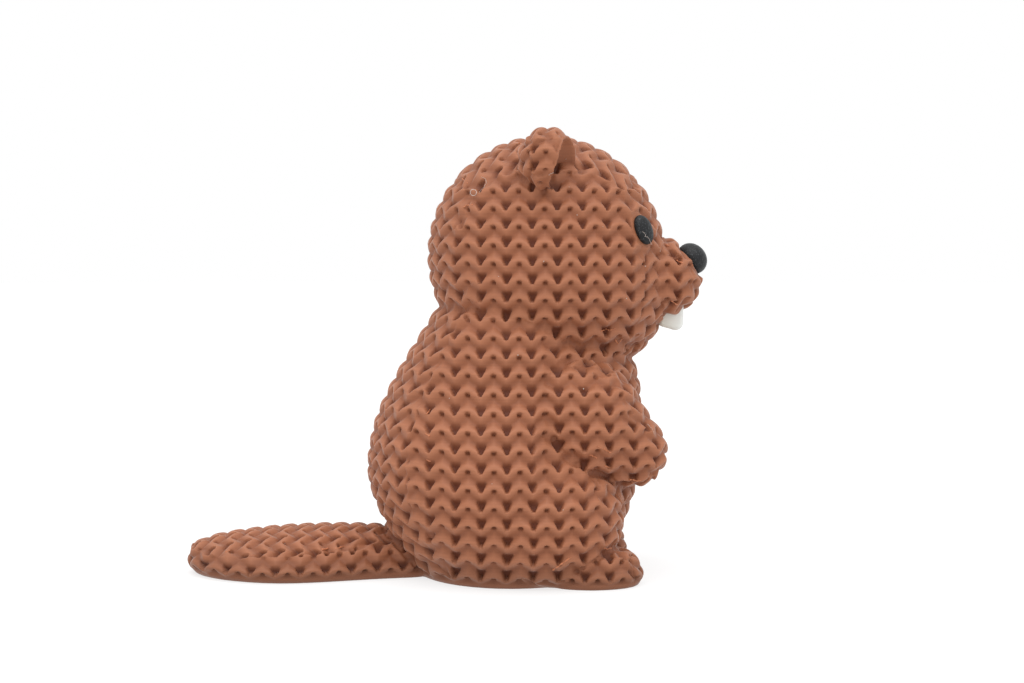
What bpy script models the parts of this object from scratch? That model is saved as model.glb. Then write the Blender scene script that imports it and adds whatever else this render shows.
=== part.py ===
"""Sitting beaver figurine, a small one-piece plastic print with a knitted relief.

The figure looks along +X and is mirrored across the plane y = 0. Its origin is
the middle of the trunk's flat underside, on the surface it stands on.
The relief of the stitches is not in these solids: they run through its middle.
"""

import math

import bmesh
import bpy
from mathutils import Matrix, Vector

MM = 0.001
GAP = 0.3 * MM  # left between two pieces that meet face to face
FLOOR = 0.0
RIGHT, LEFT = -1, 1  # side of the figure, as the sign of y

# Trunk: an upright pear of oval sections, from the sole up into the head.
# Each section is (height, back, front, half width).
TRUNK_SECTIONS = {
    "sole": (0.0 * MM, -14.9 * MM, 18.6 * MM, 19.6 * MM),
    "seat": (5.0 * MM, -18.5 * MM, 21.2 * MM, 22.9 * MM),
    "hips": (10.5 * MM, -21.7 * MM, 23.1 * MM, 25.2 * MM),
    "belly": (18.0 * MM, -24.2 * MM, 25.3 * MM, 25.8 * MM),
    "waist": (27.0 * MM, -23.1 * MM, 25.6 * MM, 23.8 * MM),
    "chest": (34.0 * MM, -20.2 * MM, 25.6 * MM, 20.8 * MM),
    "throat": (40.0 * MM, -16.8 * MM, 23.9 * MM, 19.7 * MM),
    "neck": (46.0 * MM, -13.0 * MM, 20.0 * MM, 17.7 * MM),
    "inside head": (52.0 * MM, -9.4 * MM, 15.0 * MM, 13.0 * MM),
}
TRUNK_LEVELS = 19
TRUNK_SEGMENTS = 40
# Its front half is narrower from the belly up, where the arms and haunches lie.
ARM_RECESS = 0.13  # share of the width
ARM_RECESS_RISE = (16.0 * MM, 25.0 * MM)
ARM_RECESS_START = (0.1, 0.4)  # from the middle (0) to the front (1)

# Head: an oval ball with a heavier jaw low at the front.
HEAD_CENTRE = Vector((8.3, 0.0, 57.8)) * MM
HEAD_RADII = Vector((21.5, 19.2, 21.7)) * MM
CHEEK_WIDTH, BROW_WIDTH = 1.10, 0.96  # share of the half width, low and high
CHEEK_LEVEL, BROW_LEVEL = 46.0 * MM, 62.0 * MM
JAW_DIRECTION = math.radians(-39)  # below the line of sight
JAW_GROWTH = 3.2 * MM
JAW_SPREAD = math.radians(30)
HEAD_SEGMENTS, HEAD_RINGS = 40, 22

MUZZLE_CENTRE = Vector((27.8, 0.0, 53.7)) * MM
MUZZLE_RADII = Vector((9.2, 8.7, 7.7)) * MM

NOSE_CENTRE = Vector((35.1, 0.0, 57.2)) * MM
NOSE_RADII = Vector((2.6, 3.6, 3.0)) * MM
NOSE_TILT = math.radians(-40)  # its face looks up as well as forward
NOSE_SEAT = 0.45 * MM  # the muzzle's flat seat lies this far under the nose's middle

EYE_RADII = Vector((1.35, 2.05, 2.75)) * MM  # depth, width, height
EYE_TURN = math.radians(40)  # how far each eye faces to its side
EYE_RISE = math.radians(11.5)  # how far its face looks up
EYE_LEAN = math.radians(24)  # how far its top leans to the back
EYE_SINK = 0.1 * MM  # its centre lies this far inside the head

EAR_CENTRE = Vector((7.9, 14.3, 74.6)) * MM
EAR_RADII = Vector((5.3, 6.1, 5.6)) * MM
EAR_HOLLOW_CENTRE = Vector((11.7, 16.7, 73.0)) * MM
EAR_HOLLOW_RADII = Vector((4.5, 4.0, 5.25)) * MM

TOOTH_SIZE = Vector((4.6, 2.3, 8.0)) * MM  # depth, width, length with its root
TOOTH_TIP = Vector((31.1, 1.28, 43.7)) * MM  # under its middle, level with the biting edge
TOOTH_SLANT = 1.3 * MM  # how much higher its lower end is at the back
TOOTH_ROUNDING = 0.5 * MM
TOOTH_EDGE_ROUNDING = 2.0 * MM  # at the front of its lower end
SHARP_CORNER = math.radians(50)

# Arm: a tapered sausage, from a broad shoulder against the chest to the hand.
SHOULDER = Vector((10.8, 11.2, 29.6)) * MM
SHOULDER_RADIUS = 11.6 * MM
SHOULDER_FLATNESS = 0.87  # its width from side to side, as a share
HAND = Vector((22.9, 11.6, 23.2)) * MM
HAND_RADIUS = 6.6 * MM
FOREARM_FULLNESS = 2.1 * MM  # how far its middle stands out of a straight cone

# Haunch: an oval thigh, flat on the floor, whose front turns inwards.
HAUNCH_CENTRE = Vector((7.0, 14.5, 11.8)) * MM
HAUNCH_RADII = Vector((14.4, 11.5, 12.9)) * MM
HAUNCH_TURN = math.radians(6)

FOOT_CENTRE = Vector((15.5, 15.2, 2.3)) * MM
FOOT_RADII = Vector((9.3, 7.1, 5.2)) * MM

# Tail: a flat paddle that lies behind, widest past its middle.
TAIL_TIP_X = -57.1 * MM
TAIL_ROOT_X = -1.0 * MM  # its end, deep inside the trunk
TAIL_BLADE_WIDTH = 16.0 * MM  # half width that the rounded end works from
TAIL_ROOT_WIDTH = 9.9 * MM
TAIL_TAPER = (-0.55, 0.40)  # where it narrows, from tip (-1) to root (1)
TAIL_MIDDLE_Z = 2.0 * MM
TAIL_HALF_THICKNESS = 6.8 * MM
TAIL_BLUNTNESS = 0.40  # power that keeps the rim thick near the tip
TAIL_TIP_LIFT = 1.0 * MM  # how far its tip rises off the floor
TAIL_SQUARENESS = 1.65  # power of the oval section, 2 for a plain ellipse
TAIL_SEGMENTS, TAIL_RINGS = 24, 26

BROWN = (0.43, 0.165, 0.09, 1.0)
BLACK = (0.035, 0.036, 0.038, 1.0)
CREAM = (0.72, 0.69, 0.60, 1.0)


def clear_scene():
    for old in list(bpy.data.objects):
        bpy.data.objects.remove(old, do_unlink=True)


def new_collection(name):
    made = bpy.data.collections.new(name)
    bpy.context.scene.collection.children.link(made)
    return made


def plastic(name, colour, roughness):
    made = bpy.data.materials.new(name)
    made.use_nodes = True
    shader = made.node_tree.nodes["Principled BSDF"]
    shader.inputs["Base Color"].default_value = colour
    shader.inputs["Roughness"].default_value = roughness
    shader.inputs["Metallic"].default_value = 0.0
    return made


def smooth_step(low, high, value):
    t = min(max((value - low) / (high - low), 0.0), 1.0)
    return t * t * (3.0 - 2.0 * t)


def along(stations, height):
    """Values at a height, on a smooth curve through the stations."""
    i = 0
    while i < len(stations) - 2 and stations[i + 1][0] < height:
        i += 1
    low, high = stations[i], stations[i + 1]
    before = stations[max(i - 1, 0)]
    after = stations[min(i + 2, len(stations) - 1)]
    span = high[0] - low[0]
    t = (height - low[0]) / span
    values = []
    for k in range(1, len(low)):
        slope_low = (high[k] - before[k]) / (high[0] - before[0]) * span
        slope_high = (after[k] - low[k]) / (after[0] - low[0]) * span
        values.append(
            (2 * t**3 - 3 * t**2 + 1) * low[k]
            + (t**3 - 2 * t**2 + t) * slope_low
            + (3 * t**2 - 2 * t**3) * high[k]
            + (t**3 - t**2) * slope_high
        )
    return values


def unit_ball(segments, rings):
    ball = bmesh.new()
    bmesh.ops.create_uvsphere(ball, u_segments=segments, v_segments=rings, radius=1.0)
    return ball


def oval(centre, radii, segments, rings, turn=None):
    """An ellipsoid whose radii lie on its own axes, turned about its centre."""
    ball = unit_ball(segments, rings)
    place = Matrix.Translation(centre) @ (turn or Matrix()) @ Matrix.Diagonal((*radii, 1.0))
    bmesh.ops.transform(ball, matrix=place, verts=ball.verts)
    return ball


def cut_flat_beyond(mesh, point, direction):
    """Takes off all that lies past a plane through the point and closes the cut flat."""
    geometry = [*mesh.verts, *mesh.edges, *mesh.faces]
    cut = bmesh.ops.bisect_plane(
        mesh,
        geom=geometry,
        dist=1e-6,
        plane_co=point,
        plane_no=direction,
        clear_outer=True,
    )
    rim = [e for e in cut["geom_cut"] if isinstance(e, bmesh.types.BMEdge)]
    bmesh.ops.contextual_create(mesh, geom=rim)


def cut_flat_below(mesh, level):
    cut_flat_beyond(mesh, (0, 0, level), (0, 0, -1))


def grown(mesh, distance):
    """A copy with its surface moved out, to cut a neighbour with the gap in it."""
    copy = mesh.copy()
    copy.normal_update()
    moves = [v.normal * distance for v in copy.verts]
    for vert, move in zip(copy.verts, moves):
        vert.co += move
    return copy


def trunk_shape(lowest=FLOOR):
    """The pear, lofted upwards from a capped ring; lowest moves only its sole."""
    stations = list(TRUNK_SECTIONS.values())
    pear = bmesh.new()
    bmesh.ops.create_circle(pear, cap_ends=True, segments=TRUNK_SEGMENTS, radius=1.0)
    angles = [2 * math.pi * i / TRUNK_SEGMENTS for i in range(TRUNK_SEGMENTS)]
    top = pear.faces[:][0]
    for level in range(TRUNK_LEVELS + 1):
        if level:
            below = top
            made = bmesh.ops.extrude_face_region(pear, geom=[below])
            top = [g for g in made["geom"] if isinstance(g, bmesh.types.BMFace)][0]
            if level > 1:  # only the sole's own face stays
                bmesh.ops.delete(pear, geom=[below], context="FACES_ONLY")
        height = stations[0][0] + (stations[-1][0] - stations[0][0]) * level / TRUNK_LEVELS
        back, front, half_width = along(stations, height)
        ring = top.verts[:]
        for vert, angle in zip(ring, angles):
            forward = math.cos(angle)
            recess = ARM_RECESS * smooth_step(*ARM_RECESS_START, forward)
            recess *= smooth_step(*ARM_RECESS_RISE, height)
            vert.co.x = (front + back) / 2 + (front - back) / 2 * forward
            vert.co.y = half_width * math.sin(angle) * (1.0 - recess)
            vert.co.z = height if level else lowest
    bmesh.ops.recalc_face_normals(pear, faces=pear.faces)
    return pear


def head_shape():
    ball = oval(HEAD_CENTRE, HEAD_RADII, HEAD_SEGMENTS, HEAD_RINGS)
    jaw = Vector((math.cos(JAW_DIRECTION), 0.0, math.sin(JAW_DIRECTION)))
    for vert in ball.verts:
        outwards = (vert.co - HEAD_CENTRE).normalized()
        off_jaw = outwards.angle(jaw) / JAW_SPREAD
        vert.co += outwards * JAW_GROWTH * math.exp(-off_jaw * off_jaw)
        rise = smooth_step(CHEEK_LEVEL, BROW_LEVEL, vert.co.z)
        vert.co.y *= CHEEK_WIDTH + (BROW_WIDTH - CHEEK_WIDTH) * rise
    return ball


def tail_shape():
    """The paddle: a ball with its poles at the tip and the root, drawn out flat."""
    paddle = unit_ball(TAIL_SEGMENTS, TAIL_RINGS)
    bmesh.ops.rotate(paddle, matrix=Matrix.Rotation(math.pi / 2, 3, "Y"), verts=paddle.verts)
    middle = (TAIL_TIP_X + TAIL_ROOT_X) / 2
    half_length = (TAIL_ROOT_X - TAIL_TIP_X) / 2
    power = 2.0 / TAIL_SQUARENESS
    for vert in paddle.verts:
        s = min(max(vert.co.x, -1.0), 1.0)
        end = max(1.0 - s * s, 0.0)
        around = math.atan2(vert.co.z, vert.co.y)
        across, up = math.cos(around), math.sin(around)
        taper = smooth_step(*TAIL_TAPER, s)
        width = (TAIL_BLADE_WIDTH + (TAIL_ROOT_WIDTH - TAIL_BLADE_WIDTH) * taper) * math.sqrt(end)
        thickness = TAIL_HALF_THICKNESS * end**TAIL_BLUNTNESS
        vert.co.x = middle + half_length * s
        vert.co.y = math.copysign(width * abs(across) ** power, across)
        vert.co.z = TAIL_MIDDLE_Z + math.copysign(thickness * abs(up) ** power, up)
        vert.co.z += TAIL_TIP_LIFT * max(-s, 0.0) ** 4
    bmesh.ops.recalc_face_normals(paddle, faces=paddle.faces)
    cut_flat_below(paddle, FLOOR)
    return paddle


def muzzle_shape():
    """An oval ball with a flat seat for the nose."""
    ball = oval(MUZZLE_CENTRE, MUZZLE_RADII, 28, 16)
    nose_faces = Matrix.Rotation(NOSE_TILT, 3, "Y") @ Vector((1, 0, 0))
    cut_flat_beyond(ball, NOSE_CENTRE - nose_faces * NOSE_SEAT, nose_faces)
    return ball


def nose_shape():
    return oval(NOSE_CENTRE, NOSE_RADII, 18, 10, Matrix.Rotation(NOSE_TILT, 4, "Y"))


def on_side(point, side):
    return Vector((point.x, point.y * side, point.z))


def eye_shape(side):
    """A domed oval button, half sunk in the head where its face direction leaves it."""
    turn = Matrix.Rotation(EYE_TURN * side, 4, "Z") @ Matrix.Rotation(-EYE_RISE, 4, "Y")
    turn = turn @ Matrix.Rotation(EYE_LEAN * -side, 4, "X")
    facing = turn.to_3x3() @ Vector((1, 0, 0))
    # where an ellipsoid's surface faces a given way
    reach = Vector([r * f for r, f in zip(HEAD_RADII, facing)])
    surface = Vector([r * v / reach.length for r, v in zip(HEAD_RADII, reach)])
    return oval(HEAD_CENTRE + surface - facing * EYE_SINK, EYE_RADII, 18, 10, turn)


def ear_shape(side):
    return oval(on_side(EAR_CENTRE, side), EAR_RADII, 26, 16)


def ear_hollow_shape(side):
    return oval(on_side(EAR_HOLLOW_CENTRE, side), EAR_HOLLOW_RADII, 22, 12)


def tooth_shape(side):
    """A flat-sided peg with rounded edges, its root inside the muzzle."""
    peg = bmesh.new()
    bmesh.ops.create_cube(peg, size=1.0)
    centre = on_side(TOOTH_TIP, side) + Vector((0, 0, TOOTH_SIZE.z / 2))
    place = Matrix.Translation(centre) @ Matrix.Diagonal((*TOOTH_SIZE, 1.0))
    bmesh.ops.transform(peg, matrix=place, verts=peg.verts)
    for vert in peg.verts:
        if vert.co.x < centre.x and vert.co.z < centre.z:
            vert.co.z += TOOTH_SLANT
    lower_front = [
        edge
        for edge in peg.edges
        if all(v.co.x > centre.x and v.co.z < centre.z for v in edge.verts)
    ]
    bmesh.ops.bevel(
        peg,
        geom=lower_front,
        offset=TOOTH_EDGE_ROUNDING,
        segments=4,
        profile=0.5,
        affect="EDGES",
        material=-1,
    )
    bmesh.ops.bevel(
        peg,
        geom=[edge for edge in peg.edges if edge.calc_face_angle() > SHARP_CORNER],
        offset=TOOTH_ROUNDING,
        segments=3,
        profile=0.5,
        affect="EDGES",
        material=-1,
    )
    return peg


def arm_shape(side):
    """A ball whose top is the shoulder, then the arm's length, then the round hand."""
    start, end = on_side(SHOULDER, side), on_side(HAND, side)
    reach = end - start
    turn = Matrix.Rotation(math.atan2(-reach.x, -reach.z), 4, "Y")
    sausage = unit_ball(22, 14)
    for vert in sausage.verts:
        below = math.asin(min(max(-vert.co.z, -1.0), 1.0)) / (math.pi / 4)
        share = min(max(below, 0.0), 1.0)  # of the way down the arm
        bend = max(below - 1.0, 0.0) * math.pi / 2  # round the hand
        radius = SHOULDER_RADIUS + (HAND_RADIUS - SHOULDER_RADIUS) * share
        radius += FOREARM_FULLNESS * math.sin(math.pi * share)
        flatness = SHOULDER_FLATNESS + (1.0 - SHOULDER_FLATNESS) * share
        if below > 0:
            around = Vector((vert.co.x, vert.co.y, 0.0))
            around = around.normalized() if around.length > 1e-6 else around
            vert.co = around * math.cos(bend) - Vector((0, 0, math.sin(bend)))
        vert.co.y *= flatness
        vert.co = start + reach * share + turn @ vert.co * radius
    bmesh.ops.recalc_face_normals(sausage, faces=sausage.faces)
    return sausage


def haunch_shape(side):
    turn = Matrix.Rotation(-HAUNCH_TURN * side, 4, "Z")
    thigh = oval(on_side(HAUNCH_CENTRE, side), HAUNCH_RADII, 28, 16, turn)
    cut_flat_below(thigh, FLOOR)
    return thigh


def foot_shape(side):
    paw = oval(on_side(FOOT_CENTRE, side), FOOT_RADII, 24, 14)
    cut_flat_below(paw, FLOOR)
    return paw


def add_object(name, shape, collection, material=None):
    mesh = bpy.data.meshes.new(name)
    shape.to_mesh(mesh)
    mesh.shade_smooth()
    mesh.set_sharp_from_angle(angle=math.radians(40))
    made = bpy.data.objects.new(name, mesh)
    collection.objects.link(made)
    if material:
        mesh.materials.append(material)
    return made


def add_cutter(name, shape, collection):
    cutter = add_object(name, shape, collection)
    cutter.hide_render = True
    cutter.display_type = "WIRE"
    return cutter


def cut_by(piece, *cutters):
    for cutter in cutters:
        cut = piece.modifiers.new("clear of " + cutter.name, "BOOLEAN")
        cut.operation = "DIFFERENCE"
        cut.solver = "EXACT"
        cut.object = cutter


def build():
    clear_scene()
    figure = new_collection("beaver_figurine")
    cutters = new_collection("cutters")
    brown = plastic("brown plastic", BROWN, 0.6)
    black = plastic("black plastic", BLACK, 0.5)
    cream = plastic("cream plastic", CREAM, 0.45)

    def clearance(name, shape):
        return add_cutter(name + " clearance", grown(shape, GAP), cutters)

    trunk_space = add_cutter(
        "trunk clearance", grown(trunk_shape(lowest=FLOOR - MM), GAP), cutters
    )
    head_space = clearance("head", head_shape())
    muzzle_space = clearance("muzzle", muzzle_shape())

    cut_by(add_object("trunk", trunk_shape(), figure, brown), head_space)
    add_object("head", head_shape(), figure, brown)
    cut_by(add_object("muzzle", muzzle_shape(), figure, brown), head_space)
    cut_by(add_object("nose", nose_shape(), figure, black), muzzle_space)
    cut_by(add_object("tail", tail_shape(), figure, brown), trunk_space)

    for side, word in ((RIGHT, "right"), (LEFT, "left")):
        hollow = add_cutter("ear hollow " + word, ear_hollow_shape(side), cutters)
        haunch_space = clearance("haunch " + word, haunch_shape(side))
        cut_by(add_object("ear_" + word, ear_shape(side), figure, brown), hollow, head_space)
        cut_by(add_object("eye_" + word, eye_shape(side), figure, black), head_space)
        tooth = add_object("tooth_" + word, tooth_shape(side), figure, cream)
        cut_by(tooth, muzzle_space, head_space)
        arm = add_object("arm_" + word, arm_shape(side), figure, brown)
        cut_by(arm, trunk_space, head_space, haunch_space)
        cut_by(add_object("haunch_" + word, haunch_shape(side), figure, brown), trunk_space)
        foot = add_object("foot_" + word, foot_shape(side), figure, brown)
        cut_by(foot, trunk_space, haunch_space)


build()
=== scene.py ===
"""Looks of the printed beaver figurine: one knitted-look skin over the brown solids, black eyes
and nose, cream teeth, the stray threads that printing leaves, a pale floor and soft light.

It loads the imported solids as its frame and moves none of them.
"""
import math

import bmesh
import bpy
import numpy as np
from mathutils import Matrix, Vector


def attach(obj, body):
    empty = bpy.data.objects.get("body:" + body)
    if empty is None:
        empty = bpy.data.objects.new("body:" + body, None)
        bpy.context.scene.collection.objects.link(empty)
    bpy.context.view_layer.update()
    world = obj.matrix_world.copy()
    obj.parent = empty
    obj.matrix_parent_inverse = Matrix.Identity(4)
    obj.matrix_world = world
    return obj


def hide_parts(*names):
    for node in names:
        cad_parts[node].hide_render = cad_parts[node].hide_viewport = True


MM = 0.001

BROWN_NODES = ("trunk", "head", "muzzle", "tail", "ear_right", "ear_left", "arm_right", "arm_left",
               "haunch_right", "haunch_left", "foot_right", "foot_left")

# ---- the skin's mesh
NODE_GROWTH = 0.17 * MM      # closes the gaps between the solids
SKIN_GRID = 0.4 * MM         # spacing of the first skin, halved once afterwards
SKIN_SMOOTHING = 5
SKIN_CUTS = (9.6 * MM, 26.0 * MM, 41.5 * MM, 60.0 * MM)   # heights where the skin is parted
SKIN_BANDS = ("feet_and_tail", "haunch", "chest", "cheek", "crown")   # its parts, from the floor up

# ---- the knit
STITCH_WIDTH = 4.5 * MM
STITCH_HEIGHT = 3.213 * MM
KNIT_CORNER = (-10.78 * MM, -0.7 * MM, 1.72 * MM)   # a hole under a stitch's top, on sides and ends
KNIT_TOP_CORNER = (-0.15 * MM, 0.3 * MM)            # one on the upper faces
KNIT_DEPTH = 1.2 * MM
KNIT_CREST = 0.02 * MM       # how far the yarn's top stands off the grown solids
GROOVE_DEPTH, SMALL_HOLE_DEPTH, LARGE_HOLE_DEPTH = 0.56, 0.74, 0.97   # of the knit's 0 to 1
KNIT_TURN = 30.0             # how sharply the knit changes from one side's direction to the next
TOP_KNIT_BODY, TOP_KNIT_HEAD = 0.76, 1.22   # how far the top's knit reaches down, there
HEAD_KNIT_LEVEL, HEAD_KNIT_FADE = 46 * MM, 8 * MM
SOLE_END, SOLE_FADE = 0.9 * MM, 0.8 * MM    # heights over which the soles' plain stretch ends
PLAIN_HEIGHT, EYE_BED_HEIGHT, NOSE_BED_HEIGHT = 0.9, 0.8, 0.35   # of the knit's 0 to 1
CREASE_SPREADS = 12          # how often the bend is averaged with its neighbours
CREASE_BEND = (0.4 / MM, 1.0 / MM)   # hollow bends that start and finish a crease
CREASE_DEPTH = 0.38          # how far a crease sinks, as a share of the knit's height
CREASE_TOP, CREASE_TOP_FADE = 28.0 * MM, 4.0 * MM   # they are full below this height
CREASE_ABOVE, CREASE_BY_EAR = 0.2, 0.45             # how much of them is left there

# ---- head, ears, eyes, nose and teeth, as the solids have them
HEAD_CENTRE = Vector((8.3, 0.0, 57.8)) * MM
HEAD_RADII = Vector((21.5, 19.2, 21.7)) * MM
HOLLOW_CENTRE = Vector((11.7, 16.7, 73.0)) * MM
HOLLOW_RADII = Vector((4.5, 4.0, 5.25)) * MM
HOLLOW_PAINTED_SHADE = 0.27           # the painted shade's tone at its bottom, 1 being the yarn's
EAR_ROOT = 1.015             # where an ear starts, 1 being the head's oval
HOLLOW_END, EDGE_END, RIM_END, EAR_END = 1.2, 1.12, 1.3, 1.9   # 1 being the hollow's oval
EDGE_PLAIN, RIM_PLAIN = 0.95, 0.6           # how plain the hollow's edge and its rim are
EYE_BED_END, NOSE_BED_END = 1.35, 1.3       # 1 being the eye's or the nose's oval
# where the painted shade in the ears' hollows lightens towards their tops
HOLLOW_LIT_LEVEL, HOLLOW_LIT_FADE = 75.2 * MM, 4.4 * MM
EYE_RADII = Vector((1.35, 2.05, 2.75)) * MM
EYE_TURN, EYE_RISE, EYE_LEAN = math.radians(40), math.radians(11.5), math.radians(24)
EYE_SINK = 0.1 * MM
NOSE_CENTRE = Vector((35.1, 0.0, 57.2)) * MM
NOSE_RADII = Vector((2.6, 3.6, 3.0)) * MM
NOSE_TILT = math.radians(-40)
TOOTH_SIZE = Vector((4.6, 2.3, 9.5)) * MM
TOOTH_TIP = Vector((31.1, 1.28, 43.7)) * MM
TOOTH_SLANT = 1.3 * MM
TOOTH_ROUNDING = 0.85 * MM
TOOTH_EDGE_ROUNDING = 2.0 * MM
TOOTH_CORNER = math.radians(50)
BUTTON_LAYER, BUTTON_LAYER_DEPTH = 0.34 * MM, 0.012 * MM

# ---- what the printing left on the surface, as places (x, z) in mm seen from the right side;
# a thread's first number is how far it stands off the skin, in mm
BURRS = (((17.6, 44.6), (18.4, 44.7), (19.4, 44.6), (20.1, 44.9)),
         ((20.2, 42.6), (20.9, 42.2), (21.4, 42.9)),
         ((16.4, 24.9), (17.3, 24.4), (18.0, 24.0), (18.7, 23.8)),
         ((22.4, 18.6), (23.4, 18.2), (24.3, 18.3)), ((17.9, 21.4), (18.5, 21.1)),
         ((14.9, 23.3), (15.4, 23.0), (15.9, 22.9)),
         ((8.3, 3.6), (9.4, 4.8), (10.5, 5.8), (11.8, 6.3)),
         ((17.6, 7.0), (18.5, 6.8), (19.3, 6.9)), ((29.8, 59.9), (30.5, 59.8)),
         ((31.8, 57.0), (32.3, 56.5)), ((30.5, 49.4), (31.6, 48.8)),
         ((-49.3, 5.3), (-48.3, 5.2)), ((-31.9, 5.8), (-31.0, 5.9)),
         ((-29.7, 5.9), (-28.2, 6.0)), ((-13.5, 30.4), (-12.9, 31.1)),
         ((-13.6, 26.9), (-12.9, 26.6)), ((-13.4, 22.5), (-12.8, 22.4)),
         ((-6.9, 66.4), (-6.2, 66.9), (-5.3, 66.9)), ((-7.2, 71.5), (-6.0, 70.9)),
         ((2.6, 77.9), (3.6, 78.1)))
THREADS = ((0.1, ((-3.8, 71.8), (-3.1, 71.4), (-2.9, 70.7), (-3.3, 70.1), (-3.9, 69.5),
                  (-4.3, 68.9))),
           (1.6, ((24.3, 62.0), (24.7, 61.6), (25.0, 61.3), (24.8, 61.0), (25.2, 61.1),
                  (25.6, 60.7), (25.9, 60.0), (26.1, 59.6))),
           (0.12, ((7.9, 71.4), (8.3, 71.7), (8.7, 71.8))),
           (0.12, ((25.2, 28.2), (26.1, 27.7), (26.8, 26.5))))
LOOP_CENTRE, LOOP_RADIUS = (-5.1, 68.8), 0.55
BURR_LIFT, LOOP_LIFT, SPECK_LIFT = 0.02, 0.5, 0.04   # off the skin, in mm
BURR_RADIUS, THREAD_RADIUS, LOOP_THREAD_RADIUS = 0.1 * MM, 0.024 * MM, 0.045 * MM
WAVER = 0.05 * MM
SPECKS = ((12.7, 64.7), (11.8, 69.8), (11.2, 74.4), (28.7, 58.6), (30.0, 58.1), (-0.7, 54.3),
          (6.9, 56.7), (17.6, 62.7), (2.4, 40.5), (-9.5, 33.1), (14.1, 34.6), (-2.2, 19.3),
          (9.8, 14.8), (-38.5, 6.6), (25.6, 55.9), (21.9, 50.2))

# ---- tones of the prints and of the shade painted on them (red, green, blue), with where they lie on their scale of 0 to 1
YARN_COLOUR_AND_HOLE_SHADE = ((0.0, (0.108, 0.0247, 0.0088)), (0.55, (0.255, 0.0888, 0.041)),
              (1.0, (0.335, 0.1272, 0.0638)))          # from painted shade in the holes, grooves and creases to the yarn's own colour on its top
BLACK_TONES = ((0.56, (0.011, 0.0115, 0.0125)), (0.8, (0.075, 0.08, 0.085)))
CREAM_AND_BACK_SHADE_TONES = ((0.0, (0.735, 0.745, 0.715)), (1.0, (0.675, 0.655, 0.57)))   # front to back: the cream print, with painted shade darker and warmer towards the back
BURR_TONE, THREAD_TONE = (0.46, 0.155, 0.066), (0.55, 0.46, 0.41)
# painted shade: the brown darkens towards the floor over this height span, to these tones
PAINTED_FLOOR_SHADE_SPAN, PAINTED_FLOOR_SHADE_TONE = (-2.0 * MM, 7.5 * MM), (0.54, 1.0)
LAYER_BANDS = (90.0, 90.0, 2600.0)                     # the bands' fineness along x, y and z
LAYER_TONE = (0.93, 1.07)
TOOTH_SPAN = (33.2 * MM, 29.0 * MM)                    # from the teeth's front to their back

# ---- stage, light and camera
FLOOR_RADIUS, FLOOR_TONE, FLOOR_GLOW = 3.0, 0.24, 0.73   # it glows, so its shadow stays faint
LIGHT_FROM, LIGHT_STRENGTH, LIGHT_SPREAD = Vector((-0.05, -0.42, 1.0)), 2.0, math.radians(70)
CAMERA_PLACE = Vector((-9.167, -338.5, 58.83)) * MM
CAMERA_DIP, CAMERA_TURN = math.radians(2.835), math.radians(-1.916)
CAMERA_LENS, CAMERA_SENSOR = 65.18, 36.0               # in mm

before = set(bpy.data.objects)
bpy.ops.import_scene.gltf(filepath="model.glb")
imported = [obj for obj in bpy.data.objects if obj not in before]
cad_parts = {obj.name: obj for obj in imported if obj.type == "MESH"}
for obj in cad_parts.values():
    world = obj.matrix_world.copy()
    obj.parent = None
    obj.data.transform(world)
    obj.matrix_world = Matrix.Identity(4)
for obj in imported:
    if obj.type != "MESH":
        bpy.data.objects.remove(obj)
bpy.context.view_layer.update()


# ---- small helpers -------------------------------------------------------------------------

def soft_step(x, width):
    """0 well below 0, 1 well above it, and smooth over that width."""
    t = np.clip(x / width + 0.5, 0.0, 1.0)
    return t * t * (3.0 - 2.0 * t)


def fade_out(x, end, width):
    """1 well below the end, 0 well above it, and smooth over that width."""
    return 1.0 - soft_step(x - end, width)


def vertex_array(mesh, name):
    """The place ("co") or the normal of each of the mesh's vertices."""
    values = np.empty(len(mesh.vertices) * 3, np.float32)
    mesh.vertices.foreach_get(name, values)
    return values.reshape(-1, 3).astype(np.float64)


def add_piece(name, mesh, nodes=()):
    """A finished piece that rides on the figurine, in place of these solids."""
    piece = bpy.data.objects.new(name, mesh)
    bpy.context.scene.collection.objects.link(piece)
    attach(piece, "root")
    if nodes:
        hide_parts(*nodes)
    return piece


def evaluated_mesh(scratch):
    """The mesh an object has with its modifiers on; the object itself is removed."""
    bpy.context.view_layer.update()
    view = bpy.context.evaluated_depsgraph_get()
    mesh = bpy.data.meshes.new_from_object(scratch.evaluated_get(view))
    rough = scratch.data
    bpy.data.objects.remove(scratch)
    bpy.data.meshes.remove(rough)
    return mesh


# ---- the skin ------------------------------------------------------------------------------

def grown_solids(nodes, growth):
    """These solids' meshes together, each a little larger so that neighbours overlap."""
    shell = bmesh.new()
    for node in nodes:
        shell.from_mesh(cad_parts[node].data)
    bmesh.ops.remove_doubles(shell, verts=shell.verts, dist=0.002 * MM)
    shell.normal_update()
    for v in shell.verts:
        v.co += v.normal * growth
    mesh = bpy.data.meshes.new("grown_solids")
    shell.to_mesh(mesh)
    shell.free()
    return mesh


def smooth_skin():
    """One closed smooth skin over the brown solids."""
    scratch = bpy.data.objects.new("skin_scratch", grown_solids(BROWN_NODES, NODE_GROWTH))
    bpy.context.scene.collection.objects.link(scratch)
    remesh = scratch.modifiers.new("one skin", "REMESH")
    remesh.mode = "VOXEL"
    remesh.voxel_size = SKIN_GRID
    remesh.use_smooth_shade = True
    smooth = scratch.modifiers.new("smooth", "SMOOTH")
    smooth.factor = 0.5
    smooth.iterations = SKIN_SMOOTHING
    fine = scratch.modifiers.new("fine", "SUBSURF")
    fine.levels = fine.render_levels = 1
    return evaluated_mesh(scratch)


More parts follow.
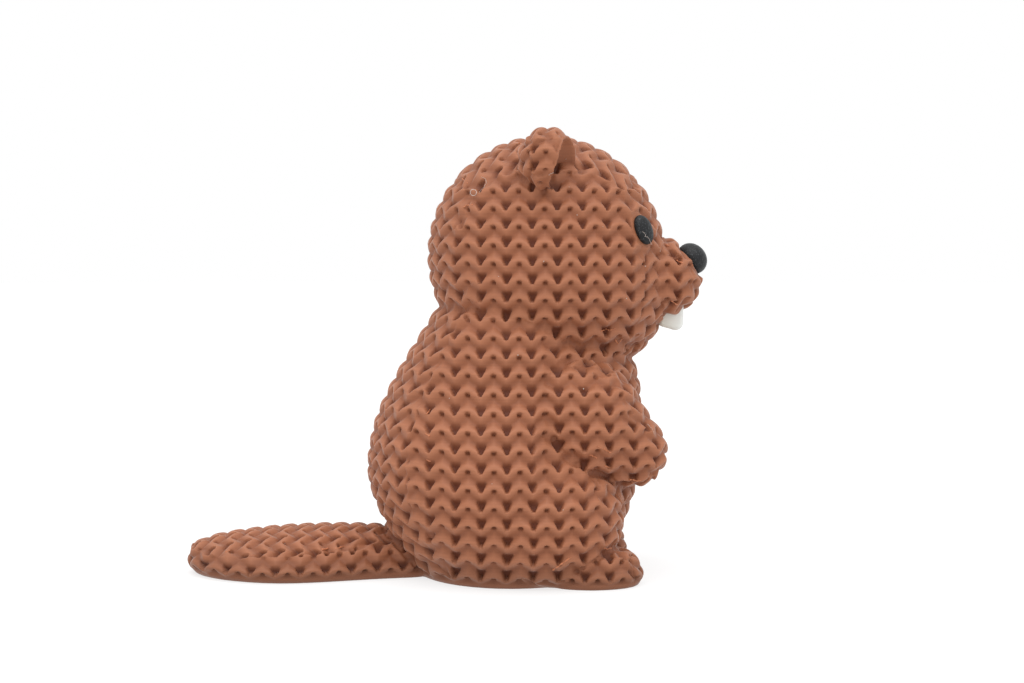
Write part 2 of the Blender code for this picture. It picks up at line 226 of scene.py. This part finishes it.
def stitch_relief(across, along):
    """Height of the knit, 0 in a hole and 1 on the yarn, at a place counted in stitches.
    Whole numbers are the small round holes under the stitches' tops. The numbers here draw the
    curves of one stitch and their soft edges, as shares of its width and its height."""
    side = np.abs(across - np.round(across))        # 0 at a stitch's top, 0.5 at its foot
    foot = 0.5 - np.hypot(0.5 - side, 0.035)
    # yarn: its crest and the valley under it, both falling from the top to the foot
    valley = -0.14 - 1.4 * side + 0.4 * side**2
    crest = 0.17 - 0.08 * foot - 1.0 * foot**2
    over_valley = (along - valley) % 1.0
    rise = crest - valley
    climb = np.where(over_valley < rise, over_valley / rise, (1.0 - over_valley) / (1.0 - rise))
    relief = 1.0 - GROOVE_DEPTH * (0.5 + 0.5 * np.cos(math.pi * climb))
    # the small hole under the yarn's arch, sharp above and fading out below
    under = 0.105 - 1.2 * side**1.5 - (along - np.round(along))
    small = soft_step(under - 0.01, 0.05) * fade_out(under, 0.17, 0.22)
    small *= fade_out(side, 0.085, 0.07)
    # the three-cornered hole between two stitches, its point down
    level = along - np.floor(along + 0.3)
    half = np.clip(0.05 + 0.31 * (level + 0.08), 0.0, 0.19)
    large = soft_step(half - (0.5 - side), 0.05) * soft_step(level + 0.07, 0.06)
    large *= fade_out(level, 0.41, 0.42)
    return relief * (1.0 - SMALL_HOLE_DEPTH * small) * (1.0 - LARGE_HOLE_DEPTH * large)


def knit_height(place, normal):
    """The knit's height over the figurine, laid on from its sides, its ends and its top."""
    x, y, z = place.T
    on_head = soft_step(z - HEAD_KNIT_LEVEL, HEAD_KNIT_FADE)
    share = np.abs(normal)
    share[:, 2] *= TOP_KNIT_BODY + (TOP_KNIT_HEAD - TOP_KNIT_BODY) * on_head
    share = share ** KNIT_TURN
    share /= share.sum(1, keepdims=True)
    row = (z - KNIT_CORNER[2]) / STITCH_HEIGHT
    from_side = stitch_relief((x - KNIT_CORNER[0]) / STITCH_WIDTH, row)
    from_end = stitch_relief((y - KNIT_CORNER[1]) / STITCH_WIDTH, row)
    from_top = stitch_relief((y - KNIT_TOP_CORNER[1]) / STITCH_WIDTH,
                             (KNIT_TOP_CORNER[0] - x) / STITCH_HEIGHT)
    return share[:, 1] * from_side + share[:, 0] * from_end + share[:, 2] * from_top


def crease_share(mesh, place, normal):
    """0 on the open surface, up to 1 in the valleys where two parts of the body meet."""
    ends = np.empty(len(mesh.edges) * 2, np.int32)
    mesh.edges.foreach_get("vertices", ends)
    a, b = ends.reshape(-1, 2).T
    n = len(place)
    along = place[b] - place[a]
    length = (along**2).sum(1)
    count = np.bincount(a, minlength=n) + np.bincount(b, minlength=n)
    spacing = (np.bincount(a, length, n) + np.bincount(b, length, n)) / count
    rise = np.bincount(a, (along * normal[a]).sum(1), n)
    rise -= np.bincount(b, (along * normal[b]).sum(1), n)
    bend = 4.0 * rise / count / spacing
    for _ in range(CREASE_SPREADS):
        around = np.bincount(a, bend[b], n) + np.bincount(b, bend[a], n)
        bend = 0.4 * bend + 0.6 * around / count
    start, finish = CREASE_BEND
    return soft_step(bend - (start + finish) / 2, finish - start)


def oval_reach(place, centre, radii, turn=None):
    """How far out each place lies, 1 on an oval's surface."""
    away = place - np.array(centre)
    if turn is not None:
        away = away @ np.array(turn)
    return np.linalg.norm(away / np.array(radii), axis=1)


def calmed(height, place, normal, crease):
    """The knit's height with its sunk creases and the places that stay plain: in the ears, on the
    soles and round the eyes and the nose. Also the height that its colour goes by, with painted
    shade deep in the ears' hollows, lighter towards their tops."""
    outer = np.sign(place[:, 1])
    place = place * [1, 0, 1] + np.abs(place) * [0, 1, 0]
    normal = normal * np.stack([np.ones_like(outer), outer, np.ones_like(outer)], 1)
    off_hollow = oval_reach(place, HOLLOW_CENTRE, HOLLOW_RADII)
    inward = np.array(HOLLOW_CENTRE) - place
    facing = (inward * normal).sum(1) / np.maximum(np.linalg.norm(inward, axis=1), 1e-9)
    on_ear = soft_step(oval_reach(place, HEAD_CENTRE, HEAD_RADII) - EAR_ROOT, 0.02)
    in_hollow = soft_step(facing - 0.1, 0.5) * on_ear * fade_out(off_hollow, HOLLOW_END, 0.25)
    near_ear = fade_out(off_hollow, EAR_END, 0.4)
    keep = 1.0 - (1.0 - CREASE_ABOVE) * soft_step(place[:, 2] - CREASE_TOP, CREASE_TOP_FADE)
    keep = keep * (1.0 - near_ear) + CREASE_BY_EAR * near_ear * (1.0 - in_hollow)
    height = height * (1.0 - CREASE_DEPTH * crease * keep)
    rim = on_ear * fade_out(off_hollow, RIM_END, 0.3)
    edge = on_ear * fade_out(off_hollow, EDGE_END, 0.2)
    plain = np.maximum(np.maximum(RIM_PLAIN * rim, EDGE_PLAIN * edge), in_hollow)
    height = height + (PLAIN_HEIGHT - height) * plain
    # painted shade in the ears' hollows: dark at the bottom, lit towards the top
    lit = soft_step(place[:, 2] - HOLLOW_LIT_LEVEL, HOLLOW_LIT_FADE)
    painted_hollow_shade = HOLLOW_PAINTED_SHADE + (1.0 - HOLLOW_PAINTED_SHADE) * lit
    at_eye = fade_out(oval_reach(place, *eye_place(1)), EYE_BED_END, 0.4)
    height = height + (EYE_BED_HEIGHT - height) * at_eye
    at_nose = fade_out(oval_reach(place, *nose_place()), NOSE_BED_END, 0.3)
    height = height + (NOSE_BED_HEIGHT - height) * at_nose
    low = fade_out(place[:, 2], SOLE_END, SOLE_FADE)
    height = height + (PLAIN_HEIGHT - height) * low
    return height, height + (painted_hollow_shade - height) * in_hollow


def knitted_skin():
    """The smooth skin with the knit raised on it, its height kept as an attribute, with painted
    shade in the ears' hollows.
    """
    mesh = smooth_skin()
    place = vertex_array(mesh, "co")
    normal = vertex_array(mesh, "normal")
    crease = crease_share(mesh, place, normal)
    height, tone = calmed(knit_height(place, normal), place, normal, crease)
    raised = place + normal * (KNIT_CREST - KNIT_DEPTH * (1.0 - height))[:, None]
    raised[:, 2] = np.maximum(raised[:, 2], 0.0)
    mesh.vertices.foreach_set("co", raised.astype(np.float32).ravel())
    # the attribute carries the height that the colour goes by, with painted shade in the ears'
    # hollows
    mesh.attributes.new("knit_height", "FLOAT", "POINT").data.foreach_set(
        "value", tone.astype(np.float32))
    mesh.update()
    facing = vertex_array(mesh, "normal")
    mesh.attributes.new("facing", "FLOAT_VECTOR", "POINT").data.foreach_set(
        "vector", facing.astype(np.float32).ravel())
    return mesh


def part_of(mesh, name, planes):
    """The part of a closed mesh on the inner side of these planes, closed with flat caps."""
    part = bmesh.new()
    part.from_mesh(mesh)
    for point, away in planes:
        cut = bmesh.ops.bisect_plane(part, geom=part.verts[:] + part.edges[:] + part.faces[:],
                                     dist=1e-7, plane_co=point, plane_no=away, clear_outer=True)
        rim = [e for e in cut["geom_cut"] if isinstance(e, bmesh.types.BMEdge) and e.is_boundary]
        caps = bmesh.ops.edgeloop_fill(part, edges=rim)["faces"]
        for cap in caps:
            cap.smooth = False
        bmesh.ops.triangulate(part, faces=caps)
    out = bpy.data.meshes.new(name)
    part.to_mesh(out)
    part.free()
    return out


def shade_from_whole(mesh):
    """The part keeps the whole skin's normals, so that no line shows where it was parted. Only
    its flat caps keep their own."""
    facing = np.empty(len(mesh.vertices) * 3, np.float32)
    mesh.attributes["facing"].data.foreach_get("vector", facing)
    facing = facing.reshape(-1, 3)
    corner = np.empty(len(mesh.loops), np.int32)
    mesh.loops.foreach_get("vertex_index", corner)
    normals = facing[corner]
    smooth = np.empty(len(mesh.polygons), bool)
    mesh.polygons.foreach_get("use_smooth", smooth)
    start = np.empty(len(mesh.polygons), np.int32)
    total = np.empty(len(mesh.polygons), np.int32)
    mesh.polygons.foreach_get("loop_start", start)
    mesh.polygons.foreach_get("loop_total", total)
    face_normal = np.empty(len(mesh.polygons) * 3, np.float32)
    mesh.polygons.foreach_get("normal", face_normal)
    face_normal = face_normal.reshape(-1, 3)
    for f in np.nonzero(~smooth)[0]:
        normals[start[f]:start[f] + total[f]] = face_normal[f]
    mesh.attributes.remove(mesh.attributes["facing"])
    mesh.normals_split_custom_set(normals.tolist())


def build_skin(material):
    """The knitted skin as bands of both sides, and the places and normals of the whole."""
    whole = knitted_skin()
    levels = [None, *SKIN_CUTS, None]
    for side, y in (("right", 1.0), ("left", -1.0)):
        for band, low, high in zip(SKIN_BANDS, levels, levels[1:]):
            planes = [(Vector((0, 0, 0)), Vector((0, y, 0)))]
            if low is not None:
                planes.append((Vector((0, 0, low)), Vector((0, 0, -1))))
            if high is not None:
                planes.append((Vector((0, 0, high)), Vector((0, 0, 1))))
            mesh = part_of(whole, f"{band}_knit_{side}", planes)
            shade_from_whole(mesh)
            mesh.materials.clear()
            mesh.materials.append(material)
            add_piece(mesh.name, mesh, BROWN_NODES)
    skin = vertex_array(whole, "co"), vertex_array(whole, "normal")
    bpy.data.meshes.remove(whole)
    return skin


# ---- eyes, nose and teeth ------------------------------------------------------------------

def eye_place(side):
    """Centre, radii and turn of an eye."""
    turn = Matrix.Rotation(EYE_TURN * side, 3, "Z") @ Matrix.Rotation(-EYE_RISE, 3, "Y")
    turn = turn @ Matrix.Rotation(EYE_LEAN * -side, 3, "X")
    facing = turn @ Vector((1, 0, 0))
    reach = Vector([r * f for r, f in zip(HEAD_RADII, facing)])
    surface = Vector([r * v / reach.length for r, v in zip(HEAD_RADII, reach)])
    return HEAD_CENTRE + surface - facing * EYE_SINK, EYE_RADII, turn


def nose_place():
    """Centre, radii and turn of the nose."""
    return NOSE_CENTRE, NOSE_RADII, Matrix.Rotation(NOSE_TILT, 3, "Y")


def build_button(name, place, material, node):
    """A black oval: a smooth ball drawn to its radii, turned and set in its place, with the
    faint steps of its printed layers."""
    centre, radii, turn = place
    ball = bmesh.new()
    bmesh.ops.create_uvsphere(ball, u_segments=72, v_segments=48, radius=1.0)
    bmesh.ops.transform(ball, matrix=Matrix.Translation(centre) @ turn.to_4x4()
                        @ Matrix.Diagonal((*radii, 1.0)), verts=ball.verts)
    ball.normal_update()
    for v in ball.verts:
        layer = math.sin(2 * math.pi * v.co.z / BUTTON_LAYER)
        v.co += v.normal * layer * BUTTON_LAYER_DEPTH
    mesh = bpy.data.meshes.new(name)
    ball.to_mesh(mesh)
    ball.free()
    mesh.shade_smooth()
    mesh.materials.append(material)
    return add_piece(name, mesh, (node,))


def build_tooth(side, word, material):
    """A flat-sided peg with round edges, its lower end slanting up to the back."""
    peg = bmesh.new()
    bmesh.ops.create_cube(peg, size=1.0)
    middle = Vector((TOOTH_TIP.x, TOOTH_TIP.y * side, TOOTH_TIP.z + TOOTH_SIZE.z / 2))
    bmesh.ops.transform(peg, matrix=Matrix.Translation(middle)
                        @ Matrix.Diagonal((*TOOTH_SIZE, 1.0)), verts=peg.verts)
    for v in peg.verts:
        if v.co.z < middle.z and v.co.x < middle.x:
            v.co.z += TOOTH_SLANT
    front = [e for e in peg.edges
             if all(v.co.x > middle.x and v.co.z < middle.z for v in e.verts)]
    bmesh.ops.bevel(peg, geom=front, offset=TOOTH_EDGE_ROUNDING, segments=12, profile=0.5,
                    affect="EDGES", material=-1)
    sharp = [e for e in peg.edges if e.calc_face_angle() > TOOTH_CORNER]
    bmesh.ops.bevel(peg, geom=sharp, offset=TOOTH_ROUNDING, segments=8, profile=0.5,
                    affect="EDGES", material=-1)
    mesh = bpy.data.meshes.new("tooth_cap_" + word)
    peg.to_mesh(mesh)
    peg.free()
    mesh.shade_smooth()
    mesh.materials.append(material)
    return add_piece(mesh.name, mesh, ("tooth_" + word,))


# ---- what the printing left ----------------------------------------------------------------

def on_surface(skin, x, z, side, lift):
    """The place standing this far off the skin at (x, z) mm, seen from that side (-1 right)."""
    places, facing = skin
    off = np.hypot(places[:, 0] - x * MM, places[:, 2] - z * MM)
    near = np.nonzero(off <= max(0.3 * MM, off.min()))[0]
    best = near[np.argmax(places[near, 1] * side)]
    return Vector(places[best]) + (Vector(facing[best]) + Vector((0, side, 0))) * 0.5 * lift * MM


def lay_thread(thread, path, radius, lumps=0.0, closed=False):
    """A thin tube along these places, its ends closed, or joined into a loop."""
    rings = []
    for i, here in enumerate(path):
        ahead = path[(i + 1) % len(path)] if closed else path[min(i + 1, len(path) - 1)]
        behind = path[i - 1] if closed or i else here
        turn = (ahead - behind).to_track_quat("Z", "Y").to_matrix().to_4x4()
        size = radius * (1.0 + lumps * math.sin(2.3 * i + 40.0 * here.x / MM))
        is_end = not closed and i in (0, len(path) - 1)
        ring = bmesh.ops.create_circle(thread, cap_ends=is_end, segments=8, radius=size,
                                       matrix=Matrix.Translation(here) @ turn)
        rings.append(ring["verts"])
    pairs = list(zip(rings, rings[1:])) + ([(rings[-1], rings[0])] if closed else [])
    for a, b in pairs:
        edges = {e for v in a + b for e in v.link_edges
                 if all(w in a for w in e.verts) or all(w in b for w in e.verts)}
        bmesh.ops.bridge_loops(thread, edges=list(edges))


def finer(path, steps=4):
    """The same path with places between, wavering a little."""
    out = []
    for a, b in zip(path, path[1:]):
        for k in range(steps):
            waver = Vector((math.sin(9.1 * k + a.z / MM), 0.0, math.cos(7.3 * k + a.x / MM)))
            out.append(a.lerp(b, k / steps) + waver * WAVER)
    return out + [path[-1]]


def build_leftovers(skin, orange, pale):
    """Orange burrs where the knit's directions meet, pale stray threads and white specks."""
    burrs = bmesh.new()
    for places in BURRS:
        path = finer([on_surface(skin, x, z, -1, BURR_LIFT) for x, z in places], 6)
        lay_thread(burrs, path, BURR_RADIUS, lumps=0.75)
    threads = bmesh.new()
    for lift, places in THREADS:
        path = finer([on_surface(skin, x, z, -1, lift) for x, z in places])
        lay_thread(threads, path, THREAD_RADIUS)
    middle = on_surface(skin, *LOOP_CENTRE, -1, LOOP_LIFT)
    loop = [middle + Vector((math.cos(a), 0.25 * math.sin(2 * a), math.sin(a))) * LOOP_RADIUS * MM
            for a in np.linspace(0.0, 2 * math.pi, 25)[:-1]]
    lay_thread(threads, loop, LOOP_THREAD_RADIUS, closed=True)
    for side in (-1, 1):
        for x, z in SPECKS:
            spot = on_surface(skin, x + (side + 1) * 0.7, z - (side + 1) * 0.9, side, SPECK_LIFT)
            size = (0.09 + 0.03 * math.sin(x)) * MM
            bmesh.ops.create_icosphere(threads, subdivisions=1, radius=size,
                                       matrix=Matrix.Translation(spot))
    for name, leftovers, material in (("print_burrs", burrs, orange),
                                      ("stray_threads", threads, pale)):
        mesh = bpy.data.meshes.new(name)
        bmesh.ops.recalc_face_normals(leftovers, faces=leftovers.faces)
        leftovers.to_mesh(mesh)
        leftovers.free()
        mesh.shade_smooth()
        mesh.materials.append(material)
        add_piece(name, mesh)


# ---- materials -----------------------------------------------------------------------------

def new_material(name, colour, roughness):
    """A plain material, with its nodes, its links and its shader."""
    material = bpy.data.materials.new(name)
    material.use_nodes = True
    shader = material.node_tree.nodes["Principled BSDF"]
    shader.inputs["Base Color"].default_value = (*colour, 1.0)
    shader.inputs["Roughness"].default_value = roughness
    return material, material.node_tree.nodes, material.node_tree.links, shader


def tone_ramp(nodes, tones):
    """A colour ramp through these tones, each with its place on the ramp."""
    ramp = nodes.new("ShaderNodeValToRGB")
    stops = ramp.color_ramp.elements
    stops[0].position, stops[1].position = tones[0][0], tones[-1][0]
    for position, _ in tones[1:-1]:
        stops.new(position)
    for stop, (_, tone) in zip(stops, tones):
        stop.color = (*tone, 1.0)
    return ramp


def value_range(nodes, span, values=(0.0, 1.0)):
    """Turns a measure over this span into these values."""
    turned = nodes.new("ShaderNodeMapRange")
    turned.inputs["From Min"].default_value = span[0]
    turned.inputs["From Max"].default_value = span[1]
    turned.inputs["To Min"].default_value = values[0]
    turned.inputs["To Max"].default_value = values[1]
    return turned


def along_axis(nodes, links, axis):
    """How far along X, Y or Z a place lies."""
    place = nodes.new("ShaderNodeTexCoord")
    split = nodes.new("ShaderNodeSeparateXYZ")
    links.new(place.outputs["Object"], split.inputs["Vector"])
    return split.outputs[axis]


def grain(nodes, links, scale, detail):
    """Noise that is as fine as these scales say along x, y and z."""
    place = nodes.new("ShaderNodeTexCoord")
    squeeze = nodes.new("ShaderNodeMapping")
    squeeze.inputs["Scale"].default_value = scale
    links.new(place.outputs["Object"], squeeze.inputs["Vector"])
    noise = nodes.new("ShaderNodeTexNoise")
    noise.inputs["Scale"].default_value = 1.0
    noise.inputs["Detail"].default_value = detail
    links.new(squeeze.outputs["Vector"], noise.inputs["Vector"])
    return noise.outputs["Fac"]


def brown_print():
    """Matt brown, with painted shade: darker and warmer in the knit's holes and creases, and darker
    near the floor; with the faint bands of the printed layers."""
    material, nodes, links, shader = new_material("brown print", (0.3, 0.11, 0.05), 0.55)
    # painted shade: the ramp darkens and warms the yarn where the knit lies low, in its holes,
    # grooves and creases
    height = nodes.new("ShaderNodeAttribute")
    height.attribute_name = "knit_height"
    ramp = tone_ramp(nodes, YARN_COLOUR_AND_HOLE_SHADE)
    links.new(height.outputs["Fac"], ramp.inputs["Fac"])

    # painted shade, darker towards the floor
    painted_floor_shade = value_range(nodes, PAINTED_FLOOR_SHADE_SPAN, PAINTED_FLOOR_SHADE_TONE)
    painted_floor_shade.interpolation_type = "SMOOTHSTEP"
    links.new(along_axis(nodes, links, "Z"), painted_floor_shade.inputs["Value"])
    bands = grain(nodes, links, LAYER_BANDS, 2.0)
    band_tone = value_range(nodes, (0.3, 0.7), LAYER_TONE)
    links.new(bands, band_tone.inputs["Value"])
    # the painted floor shade times the bands of the printed layers
    tone = nodes.new("ShaderNodeMath")
    tone.operation = "MULTIPLY"
    links.new(painted_floor_shade.outputs["Result"], tone.inputs[0])
    links.new(band_tone.outputs["Result"], tone.inputs[1])
    toned = nodes.new("ShaderNodeVectorMath")
    toned.operation = "SCALE"
    links.new(ramp.outputs["Color"], toned.inputs[0])
    links.new(tone.outputs["Value"], toned.inputs["Scale"])
    links.new(toned.outputs["Vector"], shader.inputs["Base Color"])

    bump = nodes.new("ShaderNodeBump")
    bump.inputs["Strength"].default_value = 0.25
    bump.inputs["Distance"].default_value = 0.05 * MM
    links.new(bands, bump.inputs["Height"])
    links.new(bump.outputs["Normal"], shader.inputs["Normal"])
    shader.inputs["Specular IOR Level"].default_value = 0.25
    shader.inputs["Sheen Weight"].default_value = 0.2
    shader.inputs["Sheen Roughness"].default_value = 0.35
    shader.inputs["Sheen Tint"].default_value = (1.0, 0.97, 0.95, 1.0)
    return material


def black_print():
    """Matt black with a dusting of fine pale grain."""
    material, nodes, links, shader = new_material("black print", (0.012, 0.0125, 0.0135), 0.5)
    ramp = tone_ramp(nodes, BLACK_TONES)
    links.new(grain(nodes, links, (4200.0,) * 3, 1.0), ramp.inputs["Fac"])
    links.new(ramp.outputs["Color"], shader.inputs["Base Color"])
    shader.inputs["Specular IOR Level"].default_value = 0.25
    return material


def cream_print():
    """Off-white print, with painted shade a little darker and warmer towards its back."""
    material, nodes, links, shader = new_material("cream print", (0.66, 0.64, 0.575), 0.45)
    # painted shade towards the teeth's back, under the muzzle
    back = value_range(nodes, TOOTH_SPAN)
    links.new(along_axis(nodes, links, "X"), back.inputs["Value"])
    ramp = tone_ramp(nodes, CREAM_AND_BACK_SHADE_TONES)
    links.new(back.outputs["Result"], ramp.inputs["Fac"])
    links.new(ramp.outputs["Color"], shader.inputs["Base Color"])
    shader.inputs["Specular IOR Level"].default_value = 0.3
    return material


# ---- stage ---------------------------------------------------------------------------------

def build_stage():
    """A pale round floor that glows a little, white surroundings and one soft light."""
    floor = bmesh.new()
    bmesh.ops.create_circle(floor, cap_ends=True, segments=96, radius=FLOOR_RADIUS)
    mesh = bpy.data.meshes.new("floor")
    floor.to_mesh(mesh)
    floor.free()
    material, _, _, shader = new_material("pale floor", (FLOOR_TONE,) * 3, 0.9)
    shader.inputs["Emission Color"].default_value = (1.0, 1.0, 1.0, 1.0)
    shader.inputs["Emission Strength"].default_value = FLOOR_GLOW
    shader.inputs["Specular IOR Level"].default_value = 0.2
    mesh.materials.append(material)
    piece = bpy.data.objects.new("floor", mesh)
    bpy.context.scene.collection.objects.link(piece)

    world = bpy.data.worlds.new("white surroundings")
    world.use_nodes = True
    world.node_tree.nodes["Background"].inputs["Color"].default_value = (1, 1, 1, 1)
    world.node_tree.nodes["Background"].inputs["Strength"].default_value = 1.0
    bpy.context.scene.world = world

    light = bpy.data.lights.new("soft window", "SUN")
    light.energy = LIGHT_STRENGTH
    light.angle = LIGHT_SPREAD
    lamp = bpy.data.objects.new("soft window", light)
    bpy.context.scene.collection.objects.link(lamp)
    lamp.rotation_euler = LIGHT_FROM.to_track_quat("Z", "Y").to_euler()


def build_camera():
    """A camera well off the right side, a little above and looking slightly down."""
    camera = bpy.data.cameras.new("camera")
    camera.sensor_width = CAMERA_SENSOR
    camera.lens = CAMERA_LENS
    camera.clip_start = 0.01
    holder = bpy.data.objects.new("camera", camera)
    bpy.context.scene.collection.objects.link(holder)
    holder.location = CAMERA_PLACE
    holder.rotation_euler = (math.radians(90) - CAMERA_DIP, 0.0, CAMERA_TURN)
    bpy.context.scene.camera = holder


bpy.context.scene.view_settings.view_transform = "Standard"
skin = build_skin(brown_print())
black = black_print()
cream = cream_print()
for side, word in ((-1, "right"), (1, "left")):
    build_button("eye_button_" + word, eye_place(side), black, "eye_" + word)
    build_tooth(side, word, cream)
build_button("nose_button", nose_place(), black, "nose")
build_leftovers(skin, new_material("orange burrs", BURR_TONE, 0.5)[0],
                new_material("pale threads", THREAD_TONE, 0.4)[0])
build_stage()
build_camera()
